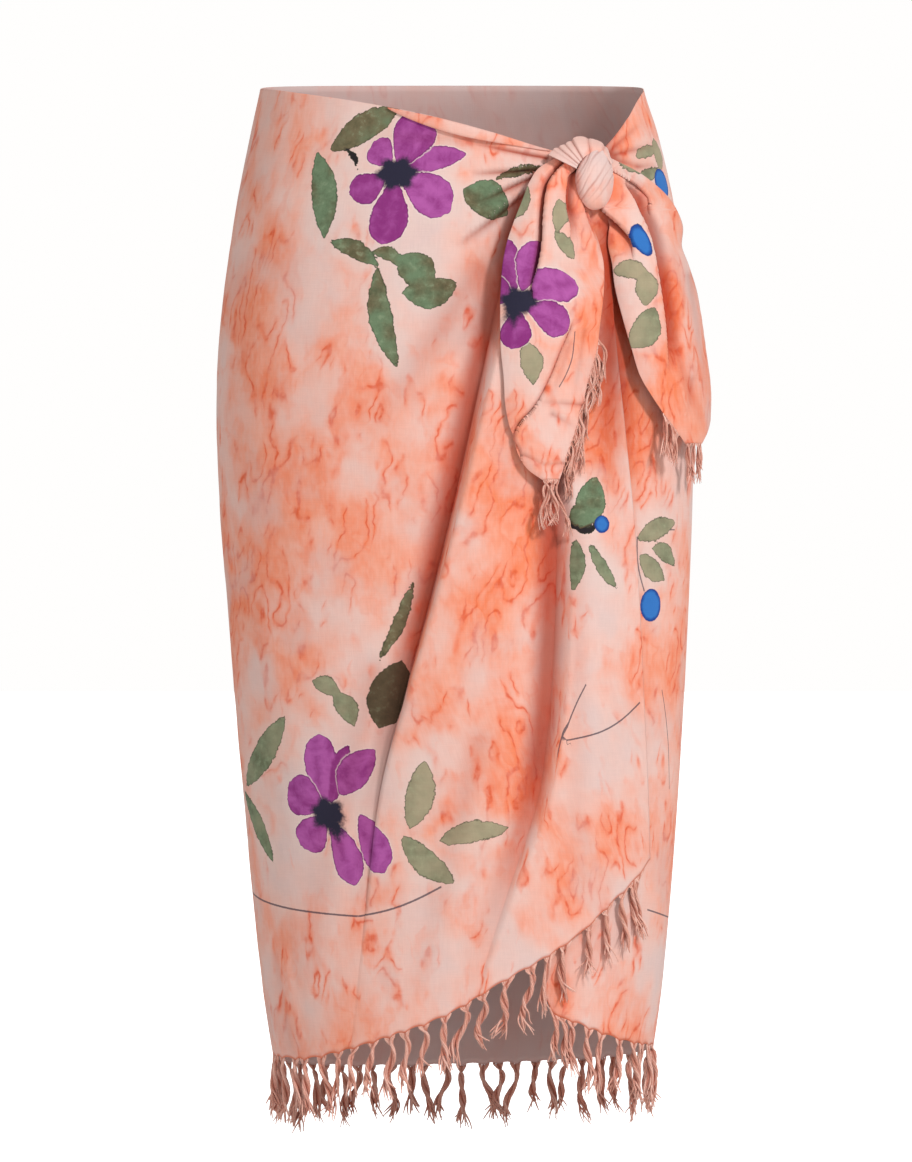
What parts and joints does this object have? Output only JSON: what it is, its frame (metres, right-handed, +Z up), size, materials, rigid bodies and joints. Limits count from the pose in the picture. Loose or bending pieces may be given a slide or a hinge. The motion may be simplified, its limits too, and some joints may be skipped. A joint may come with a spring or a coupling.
{
  "type": "sarong",
  "caption": "Hollow wrapped sarong of thin printed cloth, knotted at the waist on one side, with two loose corners and knotted fringes along its hems.",
  "frame": {"origin": "middle of the waist opening, level with its top edge at the sides, where the wearer's waist holds the cloth", "axes": "+Z up, the garment's front faces -Y, +X towards the side with the knot"},
  "size_m": [0.3964, 0.2844, 0.833],
  "materials": {
    "printed_rayon": "matte",
    "rayon_fringe": "matte"
  },
  "bodies": {
    "root": {"back_wrap": "printed_rayon", "front_over": "printed_rayon", "front_under": "printed_rayon", "waist_roll": "printed_rayon", "knot_loop": "printed_rayon", "knot_fan": "printed_rayon", "left_tail": "printed_rayon", "right_tail": "printed_rayon", "fringe_back_hem": "rayon_fringe", "fringe_over_hem": "rayon_fringe", "fringe_under_hem": "rayon_fringe", "fringe_left_tail_side": "rayon_fringe", "fringe_left_tail_tip": "rayon_fringe", "fringe_right_tail_side": "rayon_fringe", "fringe_right_tail_tip": "rayon_fringe"}
  },
  "joints": []
}
